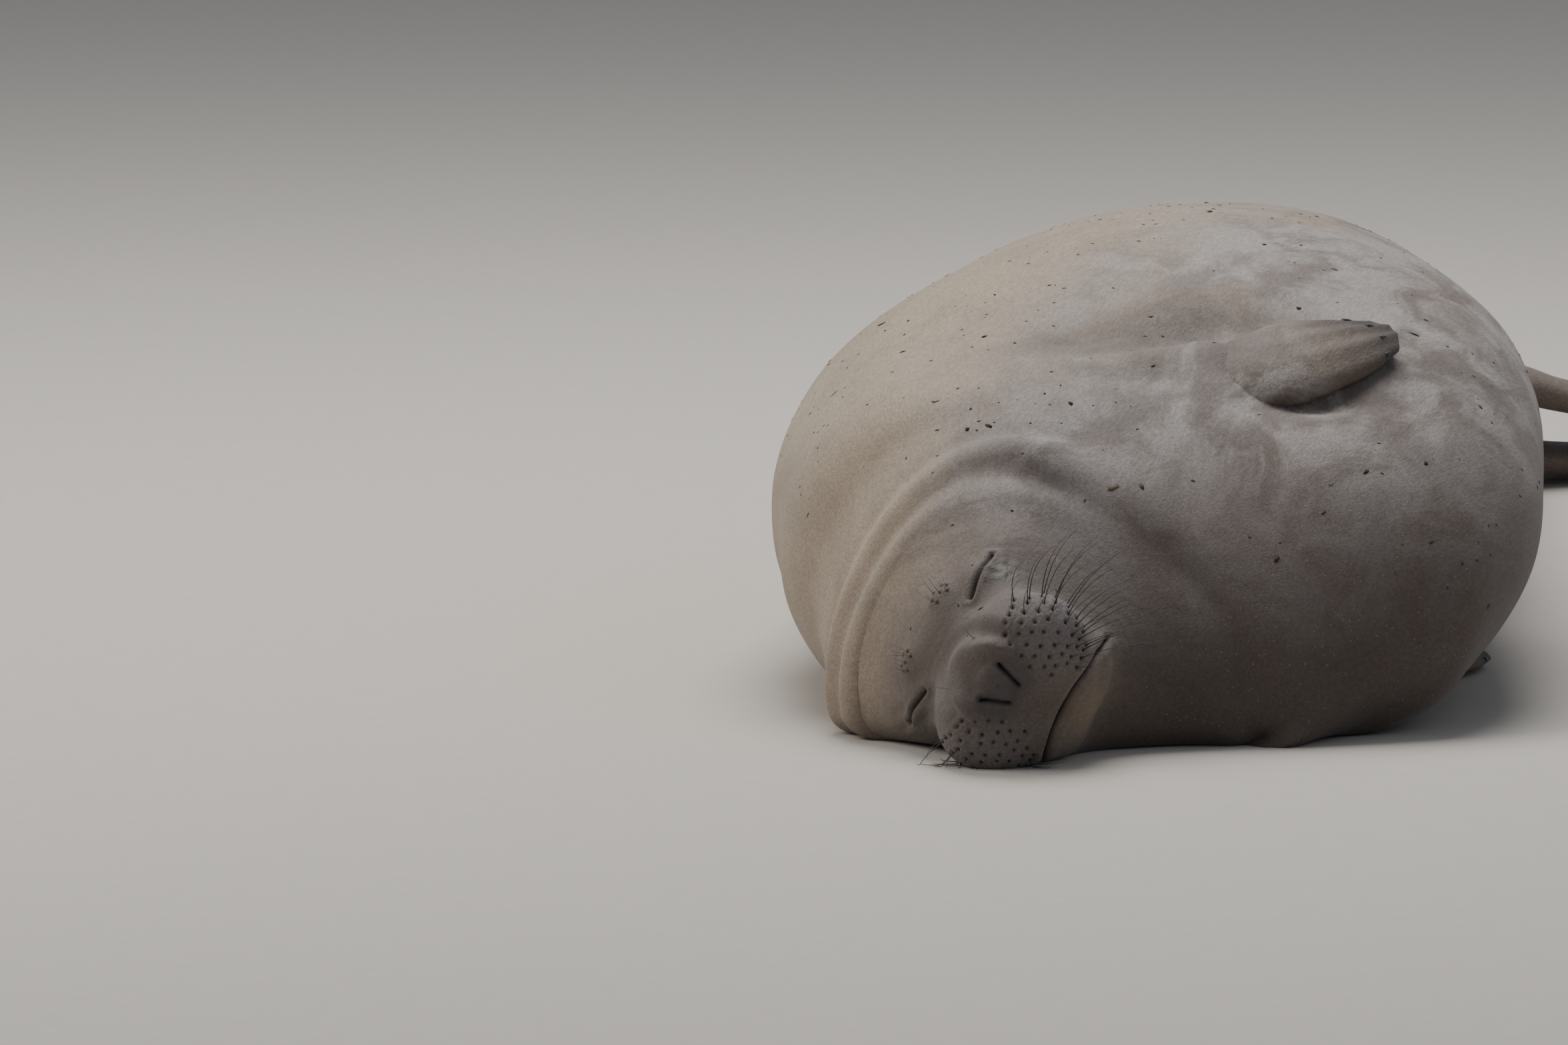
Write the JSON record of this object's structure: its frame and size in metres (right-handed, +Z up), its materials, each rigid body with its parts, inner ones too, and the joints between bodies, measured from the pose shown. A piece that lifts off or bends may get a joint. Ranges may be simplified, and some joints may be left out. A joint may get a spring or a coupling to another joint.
{
  "type": "sleeping elephant seal",
  "caption": "Adult cow elephant seal asleep on her right side, with a thick tapering body, blunt whiskered muzzle, shut eyes and flippers laid back.",
  "frame": {"origin": "middle of the footprint on the floor, under the middle of the body's length", "axes": "+Z up from the floor; -Y towards the head and +Y towards the tail; -X towards the back and +X towards the belly"},
  "size_m": [1.0037, 3.0932, 0.5032],
  "materials": {
    "coat": "short dense coat, matte",
    "face": "darker coat over the muzzle and lids, matte",
    "hide": "thin coat over the flippers, matte"
  },
  "bodies": {
    "root": {"head": "coat", "muzzle": "face", "lower_jaw": "face", "eyelids_left": "face", "eyelids_right": "face", "neck": "coat", "chest": "coat", "flank": "coat", "belly": "coat", "loin": "coat", "rump": "coat", "tail": "coat", "fore_flipper_left": "hide", "fore_flipper_right": "hide", "hind_flipper_left": "hide", "hind_flipper_right": "hide"}
  },
  "joints": []
}
